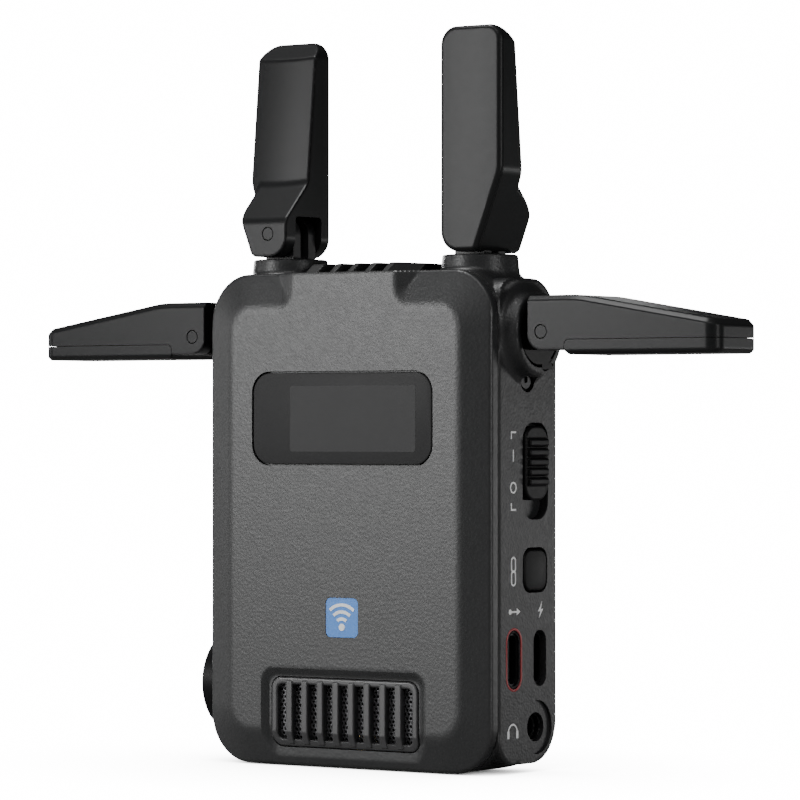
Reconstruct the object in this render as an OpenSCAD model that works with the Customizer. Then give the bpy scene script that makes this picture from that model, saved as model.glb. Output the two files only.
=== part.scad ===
// Pocket wireless video link unit with four folding antennas.
// X runs to the right, Y to the back and Z up. The origin is at the centre of the underside.

/* [Body] */
// Width of the case
body_w = 59; // [56:0.5:64]
// Depth of the case, front plane to back plane
body_d = 22; // [22:0.5:26]
// Height of the case without the bosses
body_h = 85; // [83:0.5:92]
// Corner radius of the case, seen from the front
corner_r = 8; // [6:0.5:9]
// Wall thickness of the two shells
wall = 1.8; // [1.4:0.1:2]
// Width of the bevel at the sides of the front face
bevel_w = 5.4; // [4:0.2:7]
// Height of the bevel above and below the front face
bevel_h = 6; // [4:0.5:7]
// How far the bevel falls back
bevel_d = 1.95; // [1:0.05:2.2]

/* [Front] */
// Width of the display window
window_w = 37.5; // [34:0.1:40]
// Height of the display window
window_h = 15.7; // [12:0.1:18]
// Height of the window's centre above the underside
window_z = 59.9; // [50:0.1:62]
// Width of the air grille
grille_w = 30.8; // [26:0.1:34]
// Number of slots in the air grille
grille_slots = 9; // [5:1:11]
// Width of one grille rib
grille_rib = 1.25; // [0.8:0.05:1.4]

/* [Antennas] */
// Distance of the top hinge pins from the centre plane
top_pin_x = 20.1; // [20:0.1:21]
// Height of the top hinge pins
top_pin_z = 92.2; // [92:0.1:94]
// Distance of the side hinge pins from the centre plane
side_pin_x = 36.8; // [36.6:0.1:38]
// Height of the side hinge pins
side_pin_z = 74.4; // [73:0.1:75]
// Radius of the hinge pins
pin_r = 1.05; // [0.9:0.05:1.2]
// Length of a top antenna above its pin
top_reach = 34.2; // [30:0.2:34.2]
// Length of a side antenna beyond its pin
side_reach = 34.2; // [28:0.2:40]
// Width of every antenna along its pin
antenna_y = 13.6; // [12.5:0.1:14.5]

/* [Controls] */
// Travel of the power switch
switch_travel = 2.8; // [2:0.1:3]
// Side of the square link button
button_size = 7.4; // [6:0.1:8]

/* [Hidden] */

$fn = 64;
half_w = body_w / 2;
front_y = -body_d / 2;
back_y = body_d / 2;
part_y = front_y + 4;           // parting line of the two shells
gasket_t = 0.2;                 // thickness of the gasket in the parting line
bevel_y = front_y + bevel_d;    // back edge of the bevel
skin = 1.6;                     // wall behind the front face
rear_r = 7.3;                   // radius of the upper and lower back edges
rear_edge_r = 2;                // radius of the upright back edges
cheek_z0 = 1.3;                 // lowest edge of the flat side cheeks
cheek_front_r = 4.5;            // front corner radius of the cheeks
hub_y = 1.55;                   // centre plane of the hinge hubs
vent_half = 12.2;               // half the width of the top vent
boss_r = 6.45;                  // rim radius of the top bosses
boss_base_r = 6.8;              // base radius of the top bosses
boss_top = body_h + 2.8;        // rim height of the top bosses
collar_z = 74.7;                // centre height of the side collars
collar_r = 7.05;                // rim radius of the side collars
collar_base_r = 8.5;            // base radius of the side collars
collar_out = half_w + 2.8;      // where the side collars end
hub_r = 5.7;                    // radius of the hinge base discs
hub_gap = 0.1;                  // clearance round a base disc
hub_seat = 3.6;                 // depth of the seat that holds a base disc
lug_r = 3;                    // radius of the lugs round the pin
lug_t = 2.1;                    // thickness of one lug
lug_out = 2.2;                  // distance of a lug's centre plane from the hub's
slot_half = 3.8;                // half the width of the fork slot
slot_clear = 3.1;               // reach of the fork slot from the pin
cheek_fit = 0.02;               // pin clearance in the fork
lug_fit = 0.05;                 // pin clearance in the lugs
ant_y0 = hub_y - antenna_y / 2;
ant_y1 = hub_y + antenna_y / 2;
cover_t = 1.1;                  // thickness of the antenna covers
recess_t = 0.8;                 // depth of the panel round the grille
recess_half = 17.2;             // half the width of that panel
recess_z0 = 1.5;                // lower edge of that panel
recess_z1 = 16.9;               // upper edge of that panel
window_t = 1.0;                 // thickness of the display window
grille_z0 = 3.3;                // lower edge of the grille
grille_z1 = 15.3;               // upper edge of the grille
grille_bend = 5.8;              // height where the grille follows the bevel
grille_y = front_y + 0.25;      // front plane of the ribs
grille_rim = 1.25;              // width of the grille's frame
rib_proud = 0.3;                // how far the ribs stand in front of the frame
rib_deep = 1.45;                // depth of the ribs, down to the mesh
data_port_y = -2.2;
power_port_y = 5.75;
usb_z = 19.15;
jack_y = 4.36;
jack_z = 7.27;
switch_y = 4.35;
switch_z0 = 42.7;
switch_z1 = 59.2;
button_y = 4.25;
button_z = 34.15;
screw_y = 1.87;
screw_z = 66.5;
video_y = 2.2;
video_z = 13.4;
board_y = 6.4;                  // front face of the main board
board_t = 1.2;
board_half = 19.8;              // half the width of the main board
board_screw_x = 17.5;
board_screw_z = [26, 72];
back_screw_x = 16.5;
back_screw_z = [18, 64];
insert_y = -1.2;                // place of the thread insert in the underside
insert_h = 5.5;
insert_r = 4.45;
thread_r = 2.55;
fan_z = 17.5;                   // centre height of the fan
fan_y0 = -5.2;
fan_y1 = 0.6;
fan_r = 10.5;
eps = 0.01;

case_grey = [0.27, 0.275, 0.28];
side_grey = [0.24, 0.245, 0.25];
antenna_grey = [0.22, 0.225, 0.23];
deep_black = [0.05, 0.05, 0.055];

// Extrusions of a flat shape along one axis
module along_x(x0, x1) translate([x0, 0, 0]) rotate([90, 0, 90]) linear_extrude(x1 - x0) children();
module along_y(y0, y1) translate([0, y1, 0]) rotate([90, 0, 0]) linear_extrude(y1 - y0) children();
module along_z(z0, z1) translate([0, 0, z0]) linear_extrude(z1 - z0) children();

// Round rods along one axis, at a place in the plane across it
module rod_x(x0, x1, y, z, r) translate([x0, y, z]) rotate([0, 90, 0]) cylinder(h = x1 - x0, r = r);
module rod_y(y0, y1, x, z, r) translate([x, y1, z]) rotate([90, 0, 0]) cylinder(h = y1 - y0, r = r);
module block(x0, x1, y0, y1, z0, z1) translate([x0, y0, z0]) cube([x1 - x0, y1 - y0, z1 - z0]);

// What a round corner of radius r takes off at a corner that points to (sx, sy)
module corner_cut(x, y, sx, sy, r) {
    difference() {
        translate([x - sx * r / 2 + sx * eps, y - sy * r / 2 + sy * eps]) square(r + 2 * eps, center = true);
        translate([x - sx * r, y - sy * r]) circle(r);
    }
}

// Rectangle with its own radius at each corner: low-low, high-low, high-high, low-high
module soft_box(x0, x1, y0, y1, r) {
    difference() {
        translate([x0, y0]) square([x1 - x0, y1 - y0]);
        if (r[0] > 0) corner_cut(x0, y0, -1, -1, r[0]);
        if (r[1] > 0) corner_cut(x1, y0, 1, -1, r[1]);
        if (r[2] > 0) corner_cut(x1, y1, 1, 1, r[2]);
        if (r[3] > 0) corner_cut(x0, y1, -1, 1, r[3]);
    }
}
module even_box(x0, x1, y0, y1, r) soft_box(x0, x1, y0, y1, [r, r, r, r]);

// Slot with round ends that stands along the second axis
module stadium(x, y, w, h) {
    translate([x - w / 2, y - h / 2 + w / 2]) square([w, h - w]);
    translate([x, y - h / 2 + w / 2]) circle(w / 2);
    translate([x, y + h / 2 - w / 2]) circle(w / 2);
}

// Outer form of the housing, drawn in by t on every side
module case_form(t) {
    intersection() {
        along_y(part_y + gasket_t / 2 - (t > 0 ? 1 : 0), back_y - t)
            even_box(-half_w + t, half_w - t, t, body_h - t, corner_r - t);
        along_x(-half_w, half_w)
            soft_box(front_y, back_y - t, t, body_h - t, [0, rear_r - t, rear_r - t, 0]);
        along_z(0, body_h)
            soft_box(-half_w + t, half_w - t, front_y, back_y - t,
                     [0, 0, max(rear_edge_r - t, 0.4), max(rear_edge_r - t, 0.4)]);
    }
}

// Flat cheek on one side of the housing, which carries the ports
module side_cheek(side) {
    x0 = half_w - corner_r - 1;
    mirror([side < 0 ? 1 : 0, 0, 0])
        along_x(x0, half_w)
            soft_box(part_y + gasket_t, back_y - eps, cheek_z0, body_h - cheek_z0,
                     [cheek_front_r, rear_r, rear_r, cheek_front_r]);
}

module boss(side) {
    translate([side * top_pin_x, hub_y, body_h - 3])
        cylinder(h = 3, r = boss_base_r - 0.4);
    translate([side * top_pin_x, hub_y, body_h - eps])
        cylinder(h = boss_top - body_h + eps, r1 = boss_base_r, r2 = boss_r);
}

module collar(side) {
    mirror([side < 0 ? 1 : 0, 0, 0])
        translate([half_w - eps, hub_y, collar_z]) rotate([0, 90, 0])
            cylinder(h = collar_out - half_w + eps, r1 = collar_base_r, r2 = collar_r);
}

// Seats that take the hinge bases, with the key notch of the side collars
module hub_seats() {
    for (side = [-1, 1]) {
        translate([side * top_pin_x, hub_y, boss_top - hub_seat])
            cylinder(h = hub_seat + 1, r = hub_r + hub_gap);
        mirror([side < 0 ? 1 : 0, 0, 0]) {
            rod_x(collar_out - hub_seat, collar_out + 1, hub_y, collar_z, hub_r + hub_gap);
            block(collar_out - 1.6, collar_out + 1, hub_y + 0.7, hub_y + 4, collar_z - 9, collar_z - 5);
        }
    }
}

module housing() {
    color(side_grey) difference() {
        union() {
            difference() {
                union() {
                    case_form(0);
                    for (side = [-1, 1]) {
                        side_cheek(side);
                        boss(side);
                        collar(side);
                    }
                }
                case_form(wall);
            }
            // posts for the board screws and the rear cover's screws
            for (sx = [-1, 1]) {
                for (z = board_screw_z) rod_y(board_y + board_t, 9.7, sx * board_screw_x, z, 2.2);
                for (z = back_screw_z) rod_y(board_y + board_t + 0.1, 9.7, sx * back_screw_x, z, 2);
            }
        }
        hub_seats();
        // opening under the top vent
        block(-vent_half - 0.1, vent_half + 0.1, part_y + 1.6, 8, body_h - 4, body_h + 1);
        // window behind the rear cover
        along_y(back_y - 1.2, back_y + 1) even_box(-20.1, 20.1, 13.9, 68.1, 3.1);
        along_y(back_y - 3, back_y) even_box(-13, 13, 21, 61, 2);
        for (sx = [-1, 1]) {
            for (z = board_screw_z) rod_y(board_y, 9.6, sx * board_screw_x, z, 1.1);
            for (z = back_screw_z) rod_y(board_y, back_y, sx * back_screw_x, z, 1.05);
        }
        right_side_cuts();
        left_side_cuts();
        // thread insert in the underside
        translate([0, insert_y, -1]) cylinder(h = 8, r = insert_r + 0.05);
        for (side = [-1, 1]) mirror([side < 0 ? 1 : 0, 0, 0]) {
            rod_x(half_w - 1, half_w + 1, screw_y, screw_z, 2.2);
            block(half_w - 1, half_w + 1.6, screw_y - 2.2, screw_y + 2.2, screw_z, screw_z + 2.6);
            rod_x(half_w - 4, half_w, screw_y, screw_z, 0.9);
        }
    }
}

module right_side_cuts() {
    along_x(half_w - 4, half_w + 1) stadium(data_port_y, usb_z, 4.98, 10.83);
    along_x(half_w - 4, half_w + 1) stadium(power_port_y, usb_z, 3.9, 9.6);
    rod_x(half_w - 5, half_w + 1, jack_y, jack_z, 2.9);
    rod_x(half_w - 0.5, half_w + 1, jack_y, jack_z, 4.5);
    along_x(half_w - 4, half_w + 1) even_box(switch_y - 3.95, switch_y + 3.95, switch_z0, switch_z1, 3);
    along_x(half_w - 4, half_w + 1)
        even_box(button_y - button_size / 2 - 0.2, button_y + button_size / 2 + 0.2,
                 button_z - button_size / 2 - 0.2, button_z + button_size / 2 + 0.2, 2.2);
}

module left_side_cuts() {
    rod_x(-half_w - 1, -half_w + 4, video_y, video_z, 7);
    along_x(-half_w - 1, -half_w + 4) even_box(-0.6, 5.4, 29.4, 45, 0.4);
}

// The front shell: a flat face with a bevel round it and two scoops under the top bosses
module front_cover() {
    color(case_grey) difference() {
        union() {
            hull() {
                along_y(bevel_y, part_y - gasket_t / 2)
                    even_box(-half_w, half_w, 0, body_h, corner_r);
                along_y(front_y, front_y + 0.1)
                    even_box(-half_w + bevel_w, half_w - bevel_w, bevel_h, body_h - bevel_h, 4);
            }
            hull() {
                along_y(bevel_y, bevel_y + 1) translate([-14, 70]) square([28, body_h - 70]);
                along_y(front_y, front_y + 0.1) translate([-10.5, 70]) square([21, body_h - 70]);
            }
        }
        along_y(front_y + skin, part_y)
            even_box(-half_w + bevel_w + 1, half_w - bevel_w - 1, bevel_h + 1, body_h - bevel_h - 1, 3);
        along_y(bevel_y + skin - 0.2, part_y)
            even_box(-half_w + wall, half_w - wall, wall, body_h - wall, corner_r - wall);
        // window seat and the opening behind it
        along_y(front_y - 1, front_y + window_t)
            even_box(-window_w / 2 - 0.1, window_w / 2 + 0.1,
                     window_z - window_h / 2 - 0.1, window_z + window_h / 2 + 0.1, 3.6);
        along_y(front_y, part_y)
            even_box(-window_w / 2 + 1.6, window_w / 2 - 1.6,
                     window_z - window_h / 2 + 1.4, window_z + window_h / 2 - 1.4, 2);
        // panel round the grille and the grille's own opening
        intersection() {
            along_x(-recess_half, recess_half)
                grille_section(front_y + recess_t - 2, 2, recess_z0, recess_z1);
            along_y(front_y - 2, part_y) even_box(-recess_half, recess_half, recess_z0, recess_z1, 3);
        }
        along_y(front_y - 1, part_y)
            even_box(-grille_w / 2 - 0.1, grille_w / 2 + 0.1, grille_z0 - 0.1, grille_z1 + 0.1, 2.1);
        // seat of the badge
        along_y(front_y - 1, front_y + 0.5) even_box(-3.4, 3.4, 22.4, 29.25, 1);
    }
}

module case_gasket() {
    color(deep_black) along_y(part_y - gasket_t / 2, part_y + gasket_t / 2) difference() {
        even_box(-half_w + 0.35, half_w - 0.35, 0.35, body_h - 0.35, corner_r - 0.35);
        even_box(-half_w + 1.7, half_w - 1.7, 1.7, body_h - 1.7, corner_r - 1.7);
    }
}

module rear_cover() {
    color(side_grey) difference() {
        along_y(back_y - 1.2, back_y) even_box(-20, 20, 14, 68, 3);
        for (i = [0:7])
            along_y(back_y - 2, back_y + 1) stadium(-12.25 + i * 3.5, 56, 1.6, 14);
        for (sx = [-1, 1], z = back_screw_z) {
            rod_y(back_y - 2, back_y + 1, sx * back_screw_x, z, 1.05);
            rod_y(back_y - 0.7, back_y + 1, sx * back_screw_x, z, 1.9);
        }
    }
}

module display_window() {
    color([0.06, 0.06, 0.07]) along_y(front_y + 0.05, front_y + window_t)
        even_box(-window_w / 2, window_w / 2, window_z - window_h / 2, window_z + window_h / 2, 3.5);
}

module display_panel() {
    color([0.16, 0.16, 0.17]) along_y(front_y + window_t, front_y + window_t + 1.5)
        translate([-13, window_z - 5.9]) square([29, 11.8]);
}

module link_badge() {
    color([0.23, 0.53, 0.85]) along_y(front_y + 0.08, front_y + 0.5)
        even_box(-3.35, 3.35, 22.45, 29.2, 1);
}

// Generic radio waves over a dot
module badge_mark() {
    color("white") along_y(front_y, front_y + 0.08) {
        translate([0, 24.2]) circle(0.62);
        intersection() {
            for (r = [1.7, 2.9, 4.1]) translate([0, 24.2]) difference() {
                circle(r);
                circle(r - 0.55);
            }
            translate([0, 24.2]) polygon([[0, 0], [-4, 4.6], [0, 6], [4, 4.6]]);
        }
    }
}

// Upright section of the grille: flat above, following the bevel below
module grille_section(y_front, thick, z0 = grille_z0, z1 = grille_z1) {
    lean = (grille_bend - z0) * bevel_d / bevel_h;
    polygon([[y_front, z1], [y_front, grille_bend], [y_front + lean, z0],
             [y_front + lean + thick, z0], [y_front + thick, grille_bend], [y_front + thick, z1]]);
}

module air_grille() {
    pitch = (grille_w - 2 * grille_rim + grille_rib) / grille_slots;
    inner = grille_w / 2 - grille_rim;
    color(deep_black) {
        // the frame
        intersection() {
            along_x(-grille_w / 2, grille_w / 2)
                grille_section(grille_y + rib_proud, rib_deep - rib_proud);
            along_y(front_y, part_y + 2) difference() {
                even_box(-grille_w / 2, grille_w / 2, grille_z0, grille_z1, 2);
                even_box(-inner, inner, grille_z0 + grille_rim, grille_z1 - grille_rim, 1);
            }
        }
        // ribs that overlap the frame's upper and lower bars
        intersection() {
            along_x(-inner, inner) grille_section(grille_y, rib_deep);
            for (i = [1:grille_slots - 1])
                translate([(i - grille_slots / 2) * pitch - grille_rib / 2, front_y, grille_z0 + 0.45])
                    cube([grille_rib, part_y - front_y, grille_z1 - grille_z0 - 1.1]);
        }
    }
}

module grille_mesh() {
    color([0.1, 0.1, 0.1]) difference() {
        intersection() {
            along_x(-grille_w / 2, grille_w / 2) grille_section(grille_y + rib_deep, 0.4);
            along_y(front_y, part_y + 2)
                even_box(-grille_w / 2 + 0.3, grille_w / 2 - 0.3, grille_z0 + 0.3, grille_z1 - 0.3, 1.9);
        }
        for (i = [0:grille_slots - 1], k = [0:5])
            rod_y(front_y, part_y + 2, (i - (grille_slots - 1) / 2) * 3.26, 4.9 + k * 1.75, 0.5);
    }
}

// Raised air outlet between the bosses
module top_vent() {
    z0 = body_h - wall;
    z1 = body_h + 1.8;
    slots = 4;
    slot_w = 2.5;
    pitch = 3.72;
    first = -8.3;
    closed = first + (slots - 0.5) * pitch + slot_w / 4;
    color(deep_black) difference() {
        union() {
            along_x(-vent_half, vent_half)
                polygon([[part_y + 1.7, z0 - 0.5], [part_y + 1.7, body_h], [part_y + 4.4, z1],
                         [6.4, z1], [7.9, body_h + 0.6], [7.9, z0 - 0.5]]);
            block(-vent_half - 0.8, vent_half + 0.8, part_y + 2, 3.4, z0 - 1, z0);
        }
        for (i = [0:slots - 1])
            translate([first + i * pitch - slot_w / 2, part_y + 2.2, body_h - 5]) cube([slot_w, 11.3, 12]);
        // the closed end is hollow from below and falls away a little
        block(closed + 1, vent_half - 1, part_y + 3.4, 5, body_h - 5, body_h + 0.4);
        translate([closed, 0, z1]) rotate([0, 3, 0]) block(0, 20, -20, 20, 0, 2);
    }
}

// Receptacle shell with a tongue, opening towards +X
module type_c_port(y, z, x_mouth) {
    color([0.62, 0.62, 0.64]) {
        difference() {
            along_x(x_mouth - 7.2, x_mouth) stadium(y, z, 3.2, 8.95);
            along_x(x_mouth - 6.6, x_mouth + 1) stadium(y, z, 2.6, 8.35);
        }
        block(x_mouth - 6.7, x_mouth - 0.7, y - 0.35, y + 0.35, z - 3.3, z + 3.3);
    }
}
module data_port() type_c_port(data_port_y, usb_z, half_w - 0.5);
module power_port() type_c_port(power_port_y, usb_z, half_w - 0.9);

module data_port_ring() {
    color([0.62, 0.26, 0.27]) along_x(half_w - 1.4, half_w + 0.05) difference() {
        stadium(data_port_y, usb_z, 4.9, 10.75);
        stadium(data_port_y, usb_z, 4.1, 9.95);
    }
}

module headphone_jack() {
    color(deep_black) difference() {
        union() {
            rod_x(half_w - 4, half_w - 0.6, jack_y, jack_z, 2.85);
            block(half_w - 14, half_w - 4, jack_y - 2.9, jack_y + 1.9, jack_z - 2.4, jack_z + 3.2);
        }
        rod_x(half_w - 13, half_w + 1, jack_y, jack_z, 1.75);
    }
}

module power_switch_knob() {
    z0 = 46.0;
    z1 = 58.6;
    ribs = 5;
    rib_pitch = 1.7;
    rib_h = 0.75;
    color(deep_black) {
        along_x(half_w - 1.6, half_w + 0.35)
            even_box(switch_y - 3.5, switch_y + 3.5, z0, z1, 2.6);
        for (i = [0:ribs - 1])
            block(half_w + 0.3, half_w + 1, switch_y - 2.9, switch_y + 2.9,
                  z0 + 2.55 + i * rib_pitch, z0 + 2.55 + rib_h + i * rib_pitch);
        block(half_w - 3.3, half_w - 1.5, switch_y - 0.8, switch_y + 0.8, 51.5, 53);
    }
}

module power_switch_body() {
    color([0.5, 0.5, 0.52]) difference() {
        union() {
            block(half_w - 6.6, half_w - 2.3, switch_y - 2.6, switch_y + 2.6, 45, 57);
            // plate that closes the floor of the slot
            along_x(half_w - 2.4, half_w - 1.65)
                even_box(switch_y - 3.9, switch_y + 3.9, switch_z0 + 0.05, switch_z1 - 0.05, 2.95);
        }
        block(half_w - 4, half_w, switch_y - 1, switch_y + 1, 51.3 - switch_travel, 53.2);
    }
}

module link_button() {
    s = button_size / 2;
    color(deep_black) {
        along_x(half_w - 1.4, half_w + 0.35)
            even_box(button_y - s, button_y + s, button_z - s, button_z + s, 2.1);
        rod_x(half_w - 2.6, half_w - 1.3, button_y, button_z, 1.2);
    }
}

module link_switch() {
    color([0.45, 0.45, 0.47]) {
        block(half_w - 6, half_w - 4, button_y - 2.2, button_y + 2.2, button_z - 2.2, button_z + 2.2);
        rod_x(half_w - 4.01, half_w - 3.2, button_y, button_z, 1);
    }
}

// Pictograms beside the controls and the ports, all generic
module side_markings() {
    t = 0.3;
    color("white") along_x(half_w, half_w + 0.03) {
        // power on: upright bar between a bracket and the knob
        translate([-2.6, 52.6]) square([t, 2]);
        translate([-3.2, 56.4]) square([t, 1.3]);
        translate([-3.2, 57.4]) square([1.6, t]);
        // power off: ring
        translate([-2.45, 48.2]) difference() {
            circle(1);
            circle(1 - t);
        }
        translate([-3.2, 44.3]) square([t, 1.3]);
        translate([-3.2, 44.3]) square([1.6, t]);
        // two links of a chain
        for (z = [32.9, 35.2]) translate([-2.4, z]) difference() {
            stadium(0, 0, 1.5, 2.7);
            stadium(0, 0, 0.9, 2.1);
        }
        // data arrow
        translate([-3.4, 27.1]) square([2.3, t]);
        translate([-1.4, 26.65]) polygon([[0, 0], [1.1, 0.6], [0, 1.2]]);
        translate([-3.4, 27.25]) circle(0.45);
        // lightning bolt
        translate([power_port_y - 0.6, 25.9]) polygon([[0.3, 0], [1.6, 1.6], [0.9, 1.6], [1.3, 2.9],
                                                       [0, 1.2], [0.7, 1.2]]);
        // headphones
        translate([-2.6, 6.9]) {
            difference() {
                circle(1.5);
                circle(1.5 - t);
                translate([-2, -2]) square([4, 2]);
            }
            for (s = [-1, 1]) translate([s * 1.35 - 0.3, -1]) square([0.6, 1.3]);
        }
    }
}

// Deep round collar that guards the bayonet connector
module video_port_collar() {
    color(deep_black) difference() {
        union() {
            rod_x(-half_w - 4, -half_w, video_y, video_z, 8.8);
            rod_x(-half_w, -half_w + 1.2, video_y, video_z, 6.95);
        }
        rod_x(-half_w - 5, -half_w - 0.8, video_y, video_z, 7.8);
        rod_x(-half_w - 5, -half_w + 2, video_y, video_z, 5.05);
    }
}

module video_port() {
    color([0.7, 0.7, 0.7]) difference() {
        union() {
            rod_x(-half_w - 3.8, -half_w + 4, video_y, video_z, 4.8);
            rod_x(-half_w + 1.3, -half_w + 4, video_y, video_z, 6.4);
            for (s = [-1, 1])
                rod_y(video_y + 5.1 * s - 0.6, video_y + 5.1 * s + 0.6, -half_w - 2.4, video_z, 0.8);
        }
        rod_x(-half_w - 5, -half_w + 1, video_y, video_z, 4.05);
    }
    color("gold") rod_x(-half_w - 2.6, -half_w + 1.5, video_y, video_z, 0.7);
}

module display_port() {
    color([0.62, 0.62, 0.64]) {
        difference() {
            block(-half_w + 0.9, -half_w + 11, -0.4, 5.2, 29.6, 44.8);
            block(-half_w - 1, -half_w + 10, 0.1, 4.7, 30.1, 44.3);
        }
        block(-half_w + 2, -half_w + 10.1, 2.0, 2.8, 31.2, 43.2);
    }
}

module main_board() {
    color([0.07, 0.25, 0.16]) difference() {
        along_y(board_y, board_y + board_t) even_box(-board_half, board_half, 8, 78, 2);
        for (sx = [-1, 1], z = board_screw_z) rod_y(5, 12, sx * board_screw_x, z, 1.1);
    }
}

// Upright board behind the right side that carries the ports and the switches
module port_board() {
    color([0.07, 0.25, 0.16]) along_x(20.2, 21.2) even_box(-5, 8, 12, 58, 1);
}

module shield_cans() {
    color([0.66, 0.66, 0.67]) {
        block(-9, 13, board_y - 1.5, board_y, 29, 45);
        block(-14, 14, board_y - 1.5, board_y, 49, 64);
    }
}

module heat_sink() {
    color([0.55, 0.56, 0.58]) {
        block(-16, 16, board_y - 3, board_y - 1.5, 30, 65);
        for (i = [0:9]) block(-15.7 + i * 3.4, -14.9 + i * 3.4, -4.2, board_y - 2.9, 30, 65);
    }
}

module fan_housing() {
    color(deep_black) difference() {
        union() {
            rod_y(fan_y0, fan_y1, 0, fan_z, fan_r + 1.2);
            block(-fan_r - 1.2, 2, fan_y0, fan_y1, fan_z, fan_z + 12);
        }
        rod_y(fan_y0 - 1, fan_y1 - 1, 0, fan_z, fan_r);
        block(-fan_r, 0.8, fan_y0 - 1, fan_y1 - 1, fan_z, fan_z + 13);
    }
    color(deep_black) rod_y(fan_y0 + 1.2, fan_y1 - 0.9, 0, fan_z, 1);
}

module fan_rotor() {
    blades = 15;
    color([0.12, 0.12, 0.13]) difference() {
        union() {
            rod_y(fan_y0 + 0.5, fan_y1 - 1.3, 0, fan_z, 4.6);
            translate([0, 0, fan_z]) for (i = [0:blades - 1]) rotate([0, i * 360 / blades, 0])
                translate([4.3, fan_y0 + 0.7, -0.3]) rotate([0, 18, 0]) cube([5, 3.6, 0.6]);
        }
        rod_y(fan_y0 + 1.1, fan_y1, 0, fan_z, 1 + lug_fit);
    }
}

module fan_cover() {
    color([0.35, 0.35, 0.36]) difference() {
        union() {
            rod_y(fan_y0 - 0.5, fan_y0, 0, fan_z, fan_r + 1.2);
            block(-fan_r - 1.2, 2, fan_y0 - 0.5, fan_y0, fan_z, fan_z + 12);
        }
        rod_y(fan_y0 - 1, fan_y0 + 1, 0, fan_z, 7.5);
    }
}

// Threaded insert in the underside, with a quarter inch thread
module bottom_insert() {
    color([0.7, 0.7, 0.7]) difference() {
        translate([0, insert_y, 0]) cylinder(h = insert_h, r = insert_r);
        translate([0, insert_y, -1]) cylinder(h = insert_h + 0.4, r = thread_r);
    }
}

// Pan head on a shank along +X, with a cross slot
module screw_x(side, y, z) {
    mirror([side < 0 ? 1 : 0, 0, 0]) difference() {
        union() {
            rod_x(half_w - 0.95, half_w - 0.3, y, z, 1.6);
            rod_x(half_w - 4, half_w - 0.9, y, z, 0.85);
        }
        rod_x(half_w - 0.7, half_w, y, z, 0.6);
    }
}
module side_screws() color([0.15, 0.15, 0.16]) for (side = [-1, 1]) screw_x(side, screw_y, screw_z);

module rear_screws() {
    color([0.15, 0.15, 0.16]) for (sx = [-1, 1], z = back_screw_z) difference() {
        union() {
            rod_y(back_y - 0.7, back_y - 0.1, sx * back_screw_x, z, 1.7);
            rod_y(back_y - 3, back_y - 0.6, sx * back_screw_x, z, 1);
        }
        rod_y(back_y - 0.4, back_y, sx * back_screw_x, z, 0.6);
    }
}

module board_screws() {
    color([0.75, 0.75, 0.76]) for (sx = [-1, 1], z = board_screw_z) {
        rod_y(board_y - 1, board_y, sx * board_screw_x, z, 1.9);
        rod_y(board_y - 0.1, 9.5, sx * board_screw_x, z, 1.05);
    }
}

// Disc with two lugs for a pin. The disc's top is at z = 0 and the pin is at height pin_h,
// off the disc's centre by pin_x. A side base has a key that stops it from turning.
module hinge_base(pin_h, pin_x, depth, keyed) {
    color(deep_black) difference() {
        union() {
            translate([0, hub_y, -depth]) cylinder(h = depth, r = hub_r);
            for (s = [-1, 1]) {
                y = hub_y + s * lug_out;
                rod_y(y - lug_t / 2, y + lug_t / 2, pin_x, pin_h, lug_r);
                block(pin_x - lug_r, pin_x + lug_r, y - lug_t / 2, y + lug_t / 2, -eps, pin_h);
            }
            if (keyed) block(hub_r - 1, hub_r + 0.8, hub_y + 0.8, hub_y + 3.9, -1.3, 0);
        }
        rod_y(hub_y - 9, hub_y + 9, pin_x, pin_h, pin_r + lug_fit);
        translate([0, hub_y, -depth - 1]) cylinder(h = depth + 2, r = 1);
    }
}
top_disc_z = boss_top - 0.3;
side_disc_x = collar_out - 0.1;
module top_base(side)
    translate([side * top_pin_x, 0, top_disc_z])
        hinge_base(top_pin_z - top_disc_z, 0, top_disc_z - boss_top + hub_seat, false);
module side_base(side)
    mirror([side < 0 ? 1 : 0, 0, 0]) translate([side_disc_x, 0, collar_z]) rotate([0, 90, 0])
        hinge_base(side_pin_x - side_disc_x, collar_z - side_pin_z,
                   side_disc_x - collar_out + hub_seat, true);
module top_left_base() top_base(-1);
module top_right_base() top_base(1);
module side_left_base() side_base(-1);
module side_right_base() side_base(1);

// Antennas are drawn about their own pin at (0, 0), with the blade up or outwards.
// Top antenna: flat inner side at +3.6, sloping outer side, seen from the front.
top_low = -4;
top_inner = 3.9;
top_outer = 8.8;
module top_outline(t) {
    difference() {
        polygon([[-3.6 + t, top_low + t], [top_inner - t, top_low + t], [top_inner - t, top_reach - t],
                 [-top_outer + t, top_reach - t], [-top_outer + t, 9.5]]);
        corner_cut(top_inner - t, top_low + t, 1, -1, 3.6 - t);
        corner_cut(top_inner - t, top_reach - t, 1, 1, 2.6 - t);
        corner_cut(-top_outer + t, top_reach - t, -1, 1, 3.2 - t);
    }
}

// Section of the top antenna: full width at the hinge, then falling back to a thin blade
module top_section(t) {
    polygon([[ant_y1 - t, -5], [ant_y1 - t, top_reach + 1],
             [7.3 + t, top_reach + 1], [3.9 + t, top_reach - 2.6], [1.4 + t, 8.6],
             [ant_y0 + t, 2.6], [ant_y0 + t, -5]]);
}

module top_form(t) {
    intersection() {
        along_y(ant_y0, ant_y1) top_outline(t);
        along_x(-top_outer, top_inner) top_section(t);
    }
}

// The half turn about the hub's centre plane makes the right antenna from the left one
module place_top(side) {
    translate([side * top_pin_x, side > 0 ? 2 * hub_y : 0, top_pin_z])
        rotate([0, 0, side > 0 ? 180 : 0]) children();
}

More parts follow.
